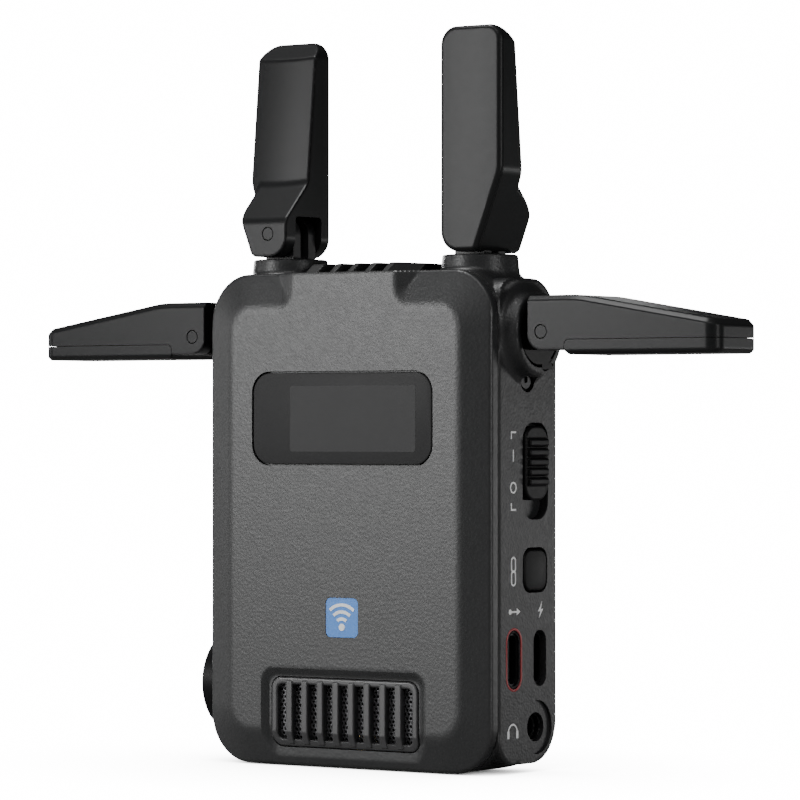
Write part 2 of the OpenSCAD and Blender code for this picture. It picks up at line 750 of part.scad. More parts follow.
module top_antenna(side) {
    color(antenna_grey) place_top(side) difference() {
        top_form(0);
        // seat of the cover and the pocket for the element
        block(-top_outer - 1, top_inner + 1, ant_y1 - cover_t, ant_y1 + 1, -9, 60);
        along_y(ant_y1 - cover_t - 1.1, ant_y1) even_box(-6.7, 1.9, 12, top_reach - 3, 1);
        // fork slot
        block(-slot_clear - 0.1, 9, hub_y - slot_half, hub_y + slot_half, -9, slot_clear);
        rod_y(ant_y0 - 1, ant_y1 + 1, 0, 0, pin_r + cheek_fit);
    }
}

module top_cover(side) {
    color(antenna_grey) place_top(side) intersection() {
        top_form(0);
        block(-top_outer - 1, top_inner + 1, ant_y1 - cover_t, ant_y1, -9, 60);
    }
}

module top_element(side) {
    color([0.75, 0.55, 0.3]) place_top(side)
        along_y(ant_y1 - cover_t - 0.9, ant_y1 - cover_t - 0.1)
            even_box(-6.4, 1.6, 12.4, top_reach - 3.4, 0.8);
}

// The top pins end under the cover, and the side pins go right through
module top_pin(side) color([0.3, 0.3, 0.31]) place_top(side)
    rod_y(ant_y0 + 0.05, ant_y1 - cover_t - 0.02, 0, 0, pin_r);
module side_pin(side) color([0.3, 0.3, 0.31]) place_side(side)
    rod_y(ant_y0 + 0.05, ant_y1 - 0.05, 0, 0, pin_r);

module top_left_antenna() top_antenna(-1);
module top_right_antenna() top_antenna(1);
module top_left_cover() top_cover(-1);
module top_right_cover() top_cover(1);
module top_left_element() top_element(-1);
module top_right_element() top_element(1);
module top_left_pin() top_pin(-1);
module top_right_pin() top_pin(1);

// Side antenna: hinge end at -2.7, flat underside, top falling towards the tip
side_top = 6.1;
side_bottom = -3.1;
side_cover_bottom = -3.9;
side_split = -1.3;      // parting line of the cover under the antenna
side_cover_x = 4.6;     // where the side covers start
module side_outline(t) {
    difference() {
        polygon([[-2.7 + t, side_bottom + t], [side_cover_x, side_bottom + t],
                 [side_cover_x + 0.5, side_cover_bottom + t], [side_reach - t, side_cover_bottom + t],
                 [side_reach - t, 1.6 - t],
                 [7.2, side_top - t], [-2.7 + t, side_top - t]]);
        corner_cut(-2.7 + t, side_bottom + t, -1, -1, 2.6 - t);
    }
}

module side_form(t) {
    intersection() {
        along_y(ant_y0, ant_y1) side_outline(t);
        along_z(side_bottom - 1, side_top + 1)
            soft_box(-3, side_reach - t, ant_y0 + t, ant_y1 - t, [0, 1.8 - t, 1.8 - t, 0]);
        along_x(-3, side_reach)
            polygon([[ant_y0 + t, -5], [ant_y0 + t, side_top - 1 - t], [ant_y0 + 1 + t, side_top - t],
                     [ant_y1 - 1 - t, side_top - t], [ant_y1 - t, side_top - 1 - t], [ant_y1 - t, -5]]);
    }
}

module place_side(side) {
    mirror([side < 0 ? 1 : 0, 0, 0]) translate([side_pin_x, 0, side_pin_z]) children();
}

// Room of the side cover, with a rounded start, drawn in by t
module side_cover_space(t)
    along_y(ant_y0 - 1, ant_y1 + 1)
        soft_box(side_cover_x + t, 60, -9, side_split - t, [0, 0, 0, 0.9]);

module side_antenna(side) {
    color(antenna_grey) place_side(side) difference() {
        side_form(0);
        side_cover_space(0);
        block(side_cover_x + 2, side_reach - 3, ant_y0 + 1.6, ant_y1 - 1.6, side_split - 1, 0.3);
        block(-9, slot_clear, hub_y - slot_half, hub_y + slot_half, -9, slot_clear);
        rod_y(ant_y0 - 1, ant_y1 + 1, 0, 0, pin_r + cheek_fit);
    }
}

module side_cover(side) {
    color(antenna_grey) place_side(side) intersection() {
        side_form(0);
        side_cover_space(0.05);
    }
}

module side_element(side) {
    color([0.75, 0.55, 0.3]) place_side(side)
        block(side_cover_x + 2.4, side_reach - 3.4, ant_y0 + 2, ant_y1 - 2, side_split, side_split + 0.8);
}

module side_left_antenna() side_antenna(-1);
module side_right_antenna() side_antenna(1);
module side_left_cover() side_cover(-1);
module side_right_cover() side_cover(1);
module side_left_element() side_element(-1);
module side_right_element() side_element(1);
module side_left_pin() side_pin(-1);
module side_right_pin() side_pin(1);

front_cover();
housing();
rear_cover();
case_gasket();
display_window();
display_panel();
link_badge();
badge_mark();
air_grille();
grille_mesh();
top_vent();
data_port_ring();
data_port();
power_port();
headphone_jack();
power_switch_knob();
power_switch_body();
link_button();
link_switch();
side_markings();
video_port_collar();
video_port();
display_port();
main_board();
shield_cans();
heat_sink();
fan_housing();
fan_rotor();
fan_cover();
bottom_insert();
port_board();
side_screws();
rear_screws();
board_screws();
top_left_base();
top_right_base();
side_left_base();
side_right_base();
top_left_antenna();
top_right_antenna();
side_left_antenna();
side_right_antenna();
top_left_cover();
top_right_cover();
side_left_cover();
side_right_cover();
top_left_pin();
top_right_pin();
side_left_pin();
side_right_pin();
top_left_element();
top_right_element();
side_left_element();
side_right_element();
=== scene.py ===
import itertools
import math

import bmesh
import bpy
import numpy as np
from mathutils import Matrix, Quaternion, Vector


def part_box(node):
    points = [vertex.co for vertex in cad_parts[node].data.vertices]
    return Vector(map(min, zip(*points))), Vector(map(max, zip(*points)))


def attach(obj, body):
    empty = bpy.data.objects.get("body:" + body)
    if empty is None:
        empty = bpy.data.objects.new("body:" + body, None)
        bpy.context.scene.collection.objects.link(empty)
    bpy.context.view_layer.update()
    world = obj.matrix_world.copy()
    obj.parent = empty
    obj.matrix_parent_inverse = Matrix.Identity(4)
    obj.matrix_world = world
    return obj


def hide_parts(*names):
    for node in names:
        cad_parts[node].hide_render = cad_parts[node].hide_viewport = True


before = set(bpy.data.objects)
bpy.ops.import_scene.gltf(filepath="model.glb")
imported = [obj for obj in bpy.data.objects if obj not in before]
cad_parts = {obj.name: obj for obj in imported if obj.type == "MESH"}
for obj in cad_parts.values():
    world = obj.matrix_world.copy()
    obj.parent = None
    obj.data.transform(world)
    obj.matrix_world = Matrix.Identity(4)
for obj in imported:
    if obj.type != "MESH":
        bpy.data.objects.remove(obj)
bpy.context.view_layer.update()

MM = 0.001
COARSE = 1.0


# ---------------------------------------------------------------- places from the frame
def mm_box(node):
    """Lowest and highest corner of a CAD node, in millimetres."""
    return [[c / MM for c in corner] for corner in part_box(node)]


FRONT_LO, FRONT_HI = mm_box("front_cover")
BACK_LO, BACK_HI = mm_box("housing")
BOSS_TOP = BACK_HI[2]
COLLAR_OUT = BACK_HI[0]
HALF_W = FRONT_HI[0]
HEIGHT = FRONT_HI[2]
FRONT_Y = FRONT_LO[1]
PART_Y = FRONT_HI[1]
HOUSE_Y = BACK_LO[1]
BACK_Y = BACK_HI[1]
PIN_TOP = [sum(c) / 2 for c in zip(*mm_box("top_left_pin"))]
PIN_SIDE = [sum(c) / 2 for c in zip(*mm_box("side_right_pin"))]
SIDE_BASE = [sum(c) / 2 for c in zip(*mm_box("side_right_base"))]
HUB_Y = PIN_SIDE[1]
TOP_LO, TOP_HI = mm_box("top_left_antenna")


# ---------------------------------------------------------------- distance fields, in millimetres
def meet(a, b, r=0.0):
    """What lies in both solids, with an edge of radius r."""
    if r == 0.0:
        return np.maximum(a, b)
    return np.minimum(np.maximum(a, b), -r) + np.hypot(np.maximum(a + r, 0), np.maximum(b + r, 0))


def blend(a, b, k):
    """What lies in both solids, where their faces cross at a shallow angle, eased over a depth k."""
    h = np.maximum(k - np.abs(a - b), 0) / k
    return np.maximum(a, b) + h * h * k / 4


def join(a, b, r=0.0):
    """Both solids together, with a fillet of radius r."""
    return -meet(-a, -b, r)


def cut(a, b, r=0.0):
    """The first solid without the second, with an edge of radius r."""
    return meet(a, -b, r)


def between(w, w0, w1):
    return np.maximum(w0 - w, w - w1)


def rect(u, v, u0, u1, v0, v1, r=0.0):
    """Rectangle with corners of radius r."""
    a = np.abs(u - (u0 + u1) / 2) - (u1 - u0) / 2 + r
    b = np.abs(v - (v0 + v1) / 2) - (v1 - v0) / 2 + r
    return np.hypot(np.maximum(a, 0), np.maximum(b, 0)) + np.minimum(np.maximum(a, b), 0) - r


def line(u, v, p, q):
    """Distance from the line p to q, positive on its right."""
    du, dv = q[0] - p[0], q[1] - p[1]
    return ((u - p[0]) * dv - (v - p[1]) * du) / math.hypot(du, dv)


GRID_BEFORE = 1.37      # how far the grid starts before the box and ends after it, in steps
GRID_AFTER = 2.4
PROBE = 0.01            # distance at which a field's slope is measured
SETTLE = 4              # how often the points are moved onto the surface


def surface_net(field, lo, hi, step):
    """Points and quads of the surface where the field is zero, inside the box lo to hi."""
    axes = [np.arange(a - GRID_BEFORE * step, b + GRID_AFTER * step, step) for a, b in zip(lo, hi)]
    start = np.array([a[0] for a in axes])
    grid = field(*np.meshgrid(*axes, indexing="ij", sparse=True))
    inside = grid < 0
    n = [s - 1 for s in grid.shape]
    corners = list(itertools.product((0, 1), repeat=3))

    def at(values, c):
        return values[c[0]:c[0] + n[0], c[1]:c[1] + n[1], c[2]:c[2] + n[2]]

    count = sum(at(inside, c).astype(np.int8) for c in corners)
    active = (count > 0) & (count < len(corners))
    cells = np.argwhere(active)
    index = np.full(active.shape, -1, dtype=np.int64)
    index[active] = np.arange(len(cells))
    total = np.zeros((len(cells), 3))
    weight = np.zeros(len(cells))
    for a, b in itertools.combinations(corners, 2):
        if sum(abs(i - j) for i, j in zip(a, b)) != 1:
            continue
        da = grid[tuple((cells + a).T)]
        db = grid[tuple((cells + b).T)]
        crossed = (da < 0) != (db < 0)
        t = np.where(crossed, da / np.where(crossed, da - db, 1), 0)[:, None]
        total += np.where(crossed[:, None], np.array(a) + t * (np.array(b) - np.array(a)), 0)
        weight += crossed
    points = start + (cells + total / weight[:, None]) * step
    for _ in range(SETTLE):
        here = field(*points.T)
        slope = np.stack([(field(*(points + e).T) - field(*(points - e).T)) / (2 * PROBE)
                          for e in np.eye(3) * PROBE], axis=1)
        size = np.maximum((slope ** 2).sum(axis=1), 0.2)
        move = slope * np.clip(here / size, -0.3 * step, 0.3 * step)[:, None]
        points = points - move
    quads = []
    for axis in range(3):
        u, v = (axis + 1) % 3, (axis + 2) % 3
        first = [slice(1, -1)] * 3
        first[axis] = slice(0, -1)
        second = list(first)
        second[axis] = slice(1, None)
        a, b = inside[tuple(first)], inside[tuple(second)]
        for flip, hit in ((False, a & ~b), (True, b & ~a)):
            spots = np.argwhere(hit)
            spots[:, u] += 1
            spots[:, v] += 1
            du, dv = np.eye(3, dtype=int)[u], np.eye(3, dtype=int)[v]
            ring = [index[tuple((spots - s).T)] for s in (du + dv, dv, 0 * du, du)]
            quads.append(np.stack(ring[::-1] if flip else ring, axis=1))
    return points, np.concatenate(quads)


def add_mesh(name, points, faces):
    """A smooth mesh object from points in millimetres."""
    mesh = bpy.data.meshes.new(name)
    mesh.from_pydata((np.asarray(points) * MM).tolist(), [], [list(map(int, f)) for f in faces])
    mesh.validate()
    obj = bpy.data.objects.new(name, mesh)
    bpy.context.collection.objects.link(obj)
    return obj


def smooth(obj, angle=40):
    """Smooth shading with sharp edges above an angle."""
    mesh = obj.data
    mesh.polygons.foreach_set("use_smooth", [True] * len(mesh.polygons))
    mesh.set_sharp_from_angle(angle=math.radians(angle))
    return obj


def bake_modifiers(obj):
    """Puts what an object's modifiers make into its own mesh."""
    depsgraph = bpy.context.evaluated_depsgraph_get()
    mesh = bpy.data.meshes.new_from_object(obj.evaluated_get(depsgraph))
    obj.modifiers.clear()
    obj.data = mesh
    return obj


def solid(name, field, lo, hi, step):
    """A closed mesh of a distance field."""
    return add_mesh(name, *surface_net(field, lo, hi, step * COARSE))


def carve(obj, cutters):
    """Cuts exact shapes out of a mesh, with crisp edges."""
    for tool in cutters:
        knife = obj.modifiers.new("cut", "BOOLEAN")
        knife.operation = "DIFFERENCE"
        knife.solver = "EXACT"
        knife.object = tool
        bake_modifiers(obj)
        bpy.data.objects.remove(tool)
    return obj


def prism(outline, axis, w0, w1):
    """A straight solid along an axis, from a closed outline of points in the plane across it."""
    u, v = [i for i in range(3) if i != axis]
    points = []
    for w in (w0, w1):
        for p in outline:
            point = [0, 0, 0]
            point[u], point[v], point[axis] = p[0], p[1], w
            points.append(point)
    n = len(outline)
    sides = [(i, (i + 1) % n, (i + 1) % n + n, i + n) for i in range(n)]
    obj = add_mesh("tool", points, sides + [tuple(range(n))[::-1], tuple(range(n, 2 * n))])
    bm = bmesh.new()
    bm.from_mesh(obj.data)
    bmesh.ops.recalc_face_normals(bm, faces=bm.faces)
    bm.to_mesh(obj.data)
    bm.free()
    return obj


def round_box(box, u, v, grow, r):
    """Outline round a box, seen along its third axis and widened by grow."""
    lo, hi = box
    grow_u, grow_v = grow
    return round_outline(lo[u] - grow_u, hi[u] + grow_u, lo[v] - grow_v, hi[v] + grow_v, r)


def round_outline(u0, u1, v0, v1, r, steps=10):
    """Points of a rectangle with round corners."""
    r = min(r, (u1 - u0) / 2 - 0.001, (v1 - v0) / 2 - 0.001)
    points = []
    centres = (u1 - r, v1 - r), (u0 + r, v1 - r), (u0 + r, v0 + r), (u1 - r, v0 + r)
    for turn, (cu, cv) in zip((0, 90, 180, 270), centres):
        for i in range(steps + 1):
            a = math.radians(turn + 90 * i / steps)
            points.append((cu + r * math.cos(a), cv + r * math.sin(a)))
    return points


def circle_outline(cu, cv, r, steps=48):
    return [(cu + r * math.cos(2 * math.pi * i / steps), cv + r * math.sin(2 * math.pi * i / steps))
            for i in range(steps)]


def ease(obj, width, segments=3):
    """Rounds the sharp edges of a piece."""
    edge = obj.modifiers.new("ease", "BEVEL")
    edge.width = width * MM
    edge.segments = segments
    edge.limit_method = "ANGLE"
    edge.angle_limit = math.radians(50)
    return bake_modifiers(obj)


# ---------------------------------------------------------------- materials
def material(name, colour, rough, grain=None, depth=0.0, mottle=0.02, metal=0.0, spec=0.5, kind="noise",
             wear=0.015):
    """Moulded or metal surface: cloudy colour, uneven roughness and a grain in the bump."""
    mat = bpy.data.materials.new(name)
    mat.use_nodes = True
    nodes, links = mat.node_tree.nodes, mat.node_tree.links
    shader = nodes["Principled BSDF"]
    shader.inputs["Metallic"].default_value = metal
    shader.inputs["Specular IOR Level"].default_value = spec
    where = nodes.new("ShaderNodeTexCoord")

    def noise(scale, detail=3.0):
        node = nodes.new("ShaderNodeTexNoise")
        node.inputs["Scale"].default_value = scale
        node.inputs["Detail"].default_value = detail
        links.new(where.outputs["Object"], node.inputs["Vector"])
        return node

    cloud = noise(160)
    tint = nodes.new("ShaderNodeMapRange")
    tint.inputs["From Min"].default_value = 0.3
    tint.inputs["From Max"].default_value = 0.7
    tint.inputs["To Min"].default_value = 1 - mottle
    tint.inputs["To Max"].default_value = 1 + mottle
    links.new(cloud.outputs["Fac"], tint.inputs["Value"])
    paint = nodes.new("ShaderNodeVectorMath")
    paint.operation = "SCALE"
    paint.inputs[0].default_value = colour
    links.new(tint.outputs["Result"], paint.inputs["Scale"])
    links.new(paint.outputs["Vector"], shader.inputs["Base Color"])

    uneven = noise(700)
    gloss = nodes.new("ShaderNodeMapRange")
    gloss.inputs["From Min"].default_value = 0.3
    gloss.inputs["From Max"].default_value = 0.7
    gloss.inputs["To Min"].default_value = rough - wear
    gloss.inputs["To Max"].default_value = rough + wear
    links.new(uneven.outputs["Fac"], gloss.inputs["Value"])
    links.new(gloss.outputs["Result"], shader.inputs["Roughness"])

    if grain:
        if kind == "leather":
            height = nodes.new("ShaderNodeTexVoronoi")
            height.feature = "SMOOTH_F1"
            height.inputs["Smoothness"].default_value = 0.6
            height.inputs["Scale"].default_value = 1 / (grain * MM)
            bend = noise(0.6 / (grain * MM), 2.0)
            mix = nodes.new("ShaderNodeVectorMath")
            mix.operation = "MULTIPLY_ADD"
            mix.inputs[1].default_value = (grain * MM,) * 3
            links.new(bend.outputs["Color"], mix.inputs[0])
            links.new(where.outputs["Object"], mix.inputs[2])
            links.new(mix.outputs["Vector"], height.inputs["Vector"])
            source = height.outputs["Distance"]
        else:
            source = noise(1 / (grain * MM), 4.0).outputs["Fac"]
        bump = nodes.new("ShaderNodeBump")
        bump.inputs["Distance"].default_value = depth * MM
        bump.inputs["Strength"].default_value = 1.0
        links.new(source, bump.inputs["Height"])
        links.new(bump.outputs["Normal"], shader.inputs["Normal"])
    return mat


FRONT = material("front_grain", (0.016, 0.0165, 0.017), 0.42, 0.55, 0.020, kind="leather")
SIDE = material("side_satin", (0.017, 0.0173, 0.0178), 0.42, 0.45, 0.034, kind="leather", spec=0.38)
ANTENNA = material("antenna_satin", (0.0115, 0.0118, 0.0122), 0.33, 0.18, 0.003, spec=0.12, wear=0.006)
BLACK = material("black_plastic", (0.005, 0.005, 0.0052), 0.40, 0.25, 0.006, spec=0.10)
RIBS = material("grille_ribs", (0.03, 0.03, 0.031), 0.42, 0.25, 0.006, spec=0.6)
# DEEP: black plastic for the jack barrel; on the side antennas' bases it is painted shade, darker than the
# grey of the top bases
DEEP = material("black_and_painted_shade", (0.005, 0.005, 0.005), 0.45, 0.25, 0.006, spec=0.22)
LUGS = material("hinge_grey", (0.014, 0.0143, 0.0147), 0.42, 0.25, 0.006, spec=0.3)
VENT = material("vent_grey", (0.020, 0.0202, 0.0205), 0.45, 0.25, 0.008, spec=0.3)
RUBBER = material("gasket_rubber", (0.003, 0.003, 0.003), 0.8, 0.2, 0.01, spec=0.1)
WINDOW = material("window_gloss", (0.040, 0.040, 0.0405), 0.32, 6.0, 0.001, spec=0.02)
CELL = material("display_cell", (0.055, 0.055, 0.0556), 0.3, 0.2, 0.001, spec=0.02)
BLUE = material("badge_blue", (0.03, 0.20, 0.62), 0.38, 0.2, 0.003)
WHITE = material("mark_white", (0.82, 0.82, 0.82), 0.5, 0.1, 0.002)
MESH = material("mesh_dark", (0.10, 0.10, 0.105), 0.5, 0.12, 0.004, metal=0.5)
RED = material("ring_red", (0.30, 0.035, 0.04), 0.42, 0.2, 0.004)
NICKEL = material("connector_nickel", (0.55, 0.55, 0.56), 0.28, 0.15, 0.003, metal=1.0)
SHELL = material("connector_dark", (0.05, 0.05, 0.052), 0.4, 0.15, 0.003, metal=1.0)
SCREW = material("screw_black", (0.03, 0.03, 0.031), 0.38, 0.12, 0.004, metal=0.8)
STEEL = material("screw_steel", (0.55, 0.55, 0.56), 0.32, 0.12, 0.004, metal=1.0)
BRASS = material("insert_brass", (0.62, 0.48, 0.24), 0.3, 0.12, 0.004, metal=1.0)
BOARD = material("board_green", (0.012, 0.08, 0.04), 0.4, 0.5, 0.01)
SINK = material("sink_metal", (0.5, 0.5, 0.52), 0.4, 0.2, 0.008, metal=1.0)
PIN = material("pin_black", (0.0105, 0.0108, 0.0112), 0.33, 0.15, 0.004, spec=0.12, wear=0.006)
COPPER = material("element_copper", (0.10, 0.05, 0.025), 0.4, 0.2, 0.004, metal=0.6)


def dress(obj, mat):
    obj.data.materials.clear()
    obj.data.materials.append(mat)
    return obj


def place(obj, mat, body, slot, *nodes):
    """Gives a piece its material and its body, and hides the CAD nodes that it stands for. The slot is not
    used.
    """
    dress(obj, mat)
    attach(obj, body)
    if nodes:
        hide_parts(*nodes)
    return obj


# ---------------------------------------------------------------- the front cover
CORNER = 8.0            # corner radius of the case, seen from the front
BEVEL_W = 5.5           # width of the bevel at the sides
BEVEL_H = 6.0           # height of the bevel above and below
BEVEL_D = 1.95          # how far the bevel falls
BEVEL_SLOPE = BEVEL_D / BEVEL_H
RIM_R = 0.4             # edge radius between the bevel and the side walls
BEVEL_STRETCH = BEVEL_H / BEVEL_W
BEVEL_CORNER = 4.5      # corner radius of the flat face
WALL = 1.8
FACE_WALL = 1.5
SCOOP_BEVEL = 4.2       # width of the slope into a scoop
SCOOP_LOW = 40.0        # the stretch between the scoops joins the flat face above this height
SCOOP_HALF = 10.9       # half the width of the flat stretch between the scoops
WINDOW_GAP = 0.28       # width of the dark line round the window
WINDOW_X = -0.15        # how far the window sits off the middle
WINDOW_R = 3.5          # corner radius of the pane
DISH = 0.8              # depth of the dish round the grille
DISH_W = 1.3            # width of its slope at the sides and above
DISH_BOX = (-17.2, 17.2, 1.5, 16.9)     # left, right, lower and upper edge
DISH_STEP = 2.8         # height of the slope below, which is nearly upright


def front_face(x, z):
    """How far the front face lies behind the front plane: flat, with a bevel and two scoops."""
    half = (HALF_W - BEVEL_W) * BEVEL_STRETCH
    flat = rect(x * BEVEL_STRETCH, z, -half, half, BEVEL_H, HEIGHT - BEVEL_H, BEVEL_CORNER)
    column = rect(x, z, -SCOOP_HALF, SCOOP_HALF, SCOOP_LOW, HEIGHT + 30, 0.0)
    return BEVEL_SLOPE * join(flat, column * (BEVEL_H / SCOOP_BEVEL), 3.5)


def front_cover_field(x, y, z):
    outline = rect(x, z, -HALF_W, HALF_W, 0, HEIGHT, CORNER)
    face = blend(FRONT_Y - y, (FRONT_Y + front_face(x, z) - y) / math.hypot(1, BEVEL_SLOPE), 0.3)
    inner = face + FACE_WALL
    _, _, d0, d1 = DISH_BOX
    dish = rect(x, np.interp(z, (d0, d0 + DISH_STEP, d1), (d0, d0 + DISH_W, d1)), *DISH_BOX, 3.0)
    face = face + DISH * np.clip(-dish / DISH_W, 0, 1)
    body = meet(meet(face, outline, RIM_R), y - PART_Y, 0.1)
    room = rect(x, z, -HALF_W + WALL, HALF_W - WALL, WALL, HEIGHT - WALL, CORNER - WALL)
    return cut(body, meet(room, inner, 0.3), 0.1)


def build_front_cover():
    obj = solid("front_cover_shell", front_cover_field,
                (-HALF_W, FRONT_Y, 0), (HALF_W, PART_Y, HEIGHT), 0.33)
    window = mm_box("display_window")
    shifted = [[c + shift for c, shift in zip(corner, (WINDOW_X, 0, 0))] for corner in window]
    seat = round_box(shifted, 0, 2, (WINDOW_GAP, WINDOW_GAP), WINDOW_R + 0.2)
    carve(obj, [
        prism(seat, 1, FRONT_Y - 1, window[1][1]),
        prism(round_box(window, 0, 2, (-1.6, -1.4), 2.0), 1, FRONT_Y, PART_Y + 1),
        prism(round_box(mm_box("air_grille"), 0, 2, (0.14, 0.14), 2.1), 1, FRONT_Y - 1, PART_Y + 1),
        prism(round_box(mm_box("link_badge"), 0, 2, (0.05, 0.05), 1.0), 1, FRONT_Y - 1, FRONT_Y + 0.5),
    ])
    smooth(obj, 24)
    return place(obj, FRONT, "case", "front_shell", "front_cover")


# ---------------------------------------------------------------- the grille, the mesh and the display
GRILLE_BEND = 5.8       # height at which the grille starts to follow the bevel
SLOTS = 9
RIB = 1.25              # width of a rib
RIM = 1.25              # width of the frame
RIB_PROUD = 0.3         # how far the ribs stand in front of the frame
RIB_DEEP = 1.45         # depth of the ribs, down to the mesh
MESH_PITCH = 0.8
MESH_HOLE = 0.25        # radius of a hole
MESH_T = 0.35
ACTIVE_BOX = (-11.0, 15.3, 54.2, 65.5)  # left, right, lower and upper edge of what the display lights


def grille_depth(z):
    """The grille is flat above and follows the bevel below."""
    return np.maximum(GRILLE_BEND - z, 0) * BEVEL_SLOPE


def grille_field(x, y, z):
    """A frame with ribs that stand proud of it and overlap its upper and lower bars."""
    (x0, y0, z0), (x1, _, z1) = mm_box("air_grille")
    depth = y - y0 - grille_depth(z)
    outer = rect(x, z, x0, x1, z0, z1, 2.0)
    opening = rect(x, z, x0 + RIM, x1 - RIM, z0 + RIM, z1 - RIM, 1.0)
    ring = cut(outer, opening, 0.0)
    frame_front = RIB_PROUD - depth
    frame_body = meet(ring, frame_front, 0.3)
    pitch = (x1 - x0 - 2 * RIM + RIB) / SLOTS
    along = np.abs(np.mod(x - x0 - RIM + RIB / 2, pitch))
    along = np.minimum(along, pitch - along) - RIB / 2
    rib = meet(along, np.abs(x) - pitch * (SLOTS - 1) / 2, 0.0)
    rib = meet(rib, between(z, z0 + 0.45, z1 - 0.65), 0.1)
    rib = meet(meet(rib, -depth, 0.14), depth - RIB_DEEP, 0.0)
    return meet(join(frame_body, rib, 0.08), depth - 2.2, 0.1)


def mesh_field(x, y, z):
    (x0, _, z0), (x1, _, z1) = mm_box("grille_mesh")
    depth = y - mm_box("air_grille")[0][1] - grille_depth(z)
    plate = meet(rect(x, z, x0, x1, z0, z1, 1.9), between(depth, RIB_DEEP, RIB_DEEP + MESH_T), 0.0)
    row = MESH_PITCH * math.sqrt(3)
    first = np.hypot(np.mod(x, MESH_PITCH) - MESH_PITCH / 2, np.mod(z, row) - row / 2)
    second = np.hypot(np.mod(x + MESH_PITCH / 2, MESH_PITCH) - MESH_PITCH / 2,
                      np.mod(z + row / 2, row) - row / 2)
    return cut(plate, np.minimum(first, second) - MESH_HOLE, 0.06)


def build_front_details():
    lo, hi = mm_box("air_grille")
    grille = solid("air_grille_ribs", grille_field, lo, hi, 0.17)
    place(smooth(grille, 35), RIBS, "case", "black_plastic", "air_grille")
    lo, hi = mm_box("grille_mesh")
    lo[1] = lo[1] - 1.2
    net = solid("grille_mesh_sheet", mesh_field, lo, hi, 0.11)
    place(smooth(net, 35), MESH, "case", "mesh_dark", "grille_mesh")
    lo, hi = mm_box("display_window")
    left, right = lo[0] + WINDOW_X, hi[0] + WINDOW_X
    pane = prism(round_outline(left, right, lo[2], hi[2], WINDOW_R), 1, lo[1], hi[1])
    pane.name = "display_window_pane"
    place(smooth(ease(pane, 0.2), 35), WINDOW, "case", "window_panel", "display_window")
    panel = prism(round_outline(*ACTIVE_BOX, 0.5), 1, lo[1] - 0.03, lo[1] + 0.1)
    panel.name = "display_active_area"
    place(panel, CELL, "case", "display_cell")


# ---------------------------------------------------------------- the housing
REAR_R = 7.3            # radius of the rear edges above and below
CHEEK_Z = 1.3           # how far the flat cheeks stay off the top and the underside
CHEEK_R = 4.5
SEAT_R = 5.85           # bore in a boss or a collar, round the hinge base
SEAT_DEEP = 3.55
BOSS_R = 6.45
BOSS_FILLET = 1.1
COLLAR_R = 7.6
COLLAR_FILLET = 1.0
JACK_R = 2.52
JACK_Y = 5.1            # the socket's centre, seen from the side
SWITCH_SLOT_H = 15.9    # from the knob's upper end down to the end of its slot
REAR_COVER = (-20.1, 20.1, 13.9, 68.1)  # recess for the rear cover: left, right, lower and upper edge
REAR_ROOM = (-13, 13, 21, 61)           # opening behind it
DISPLAY_SLOT = (-0.6, 5.4, 29.4, 45.0)  # opening in the left side: front, back, lower and upper edge
VIDEO_PORT = (2.2, 13.4, 7.0)           # round opening below it: centre and radius


def case_field(x, y, z, t):
    """The rear shell's form without cheeks and bosses, drawn in by t."""
    outline = rect(x, z, -HALF_W + t, HALF_W - t, t, HEIGHT - t, CORNER - t)
    upright = rect(y, z, BACK_Y - 60, BACK_Y - t, t, HEIGHT - t, REAR_R - t)
    plan = rect(x, y, -HALF_W + t, HALF_W - t, BACK_Y - 60, BACK_Y - t, max(2.0 - t, 0.4))
    return meet(meet(outline, upright, 0.5), plan, 0.5)


def housing_field(x, y, z):
    side = np.abs(x)
    case = meet(case_field(x, y, z, 0.0), HOUSE_Y - y, 0.15)
    cheek = join(rect(y, z, HOUSE_Y + 0.1, BACK_Y, CHEEK_Z, HEIGHT - CHEEK_Z, REAR_R),
                 rect(y, z, HOUSE_Y + 0.1, 2.0, CHEEK_Z, HEIGHT - CHEEK_Z, CHEEK_R))
    cheek = meet(meet(cheek, side - HALF_W, 0.4), HALF_W - CORNER - 1 - side, 0.0)
    body = join(case, cheek)
    out = np.hypot(side + PIN_TOP[0], y - HUB_Y)
    boss = meet(out - BOSS_R + 0.1 * (z - BOSS_TOP), z - BOSS_TOP, 0.3)
    boss = meet(boss, HEIGHT - 4 - z, 0.0)
    body = join(body, boss, BOSS_FILLET)
    turn = np.hypot(y - HUB_Y, z - SIDE_BASE[2])
    collar = meet(turn - COLLAR_R + 0.35 * (side - HALF_W - 1.2), side - COLLAR_OUT, 0.4)
    collar = meet(collar, HALF_W - 3 - side, 0.0)
    body = join(body, collar, COLLAR_FILLET)
    body = meet(meet(body, HOUSE_Y - y, 0.1), y - BACK_Y, 0.0)
    hollow = meet(case_field(x, y, z, WALL), HOUSE_Y - 5 - y, 0.0)
    return cut(body, hollow, 0.1)


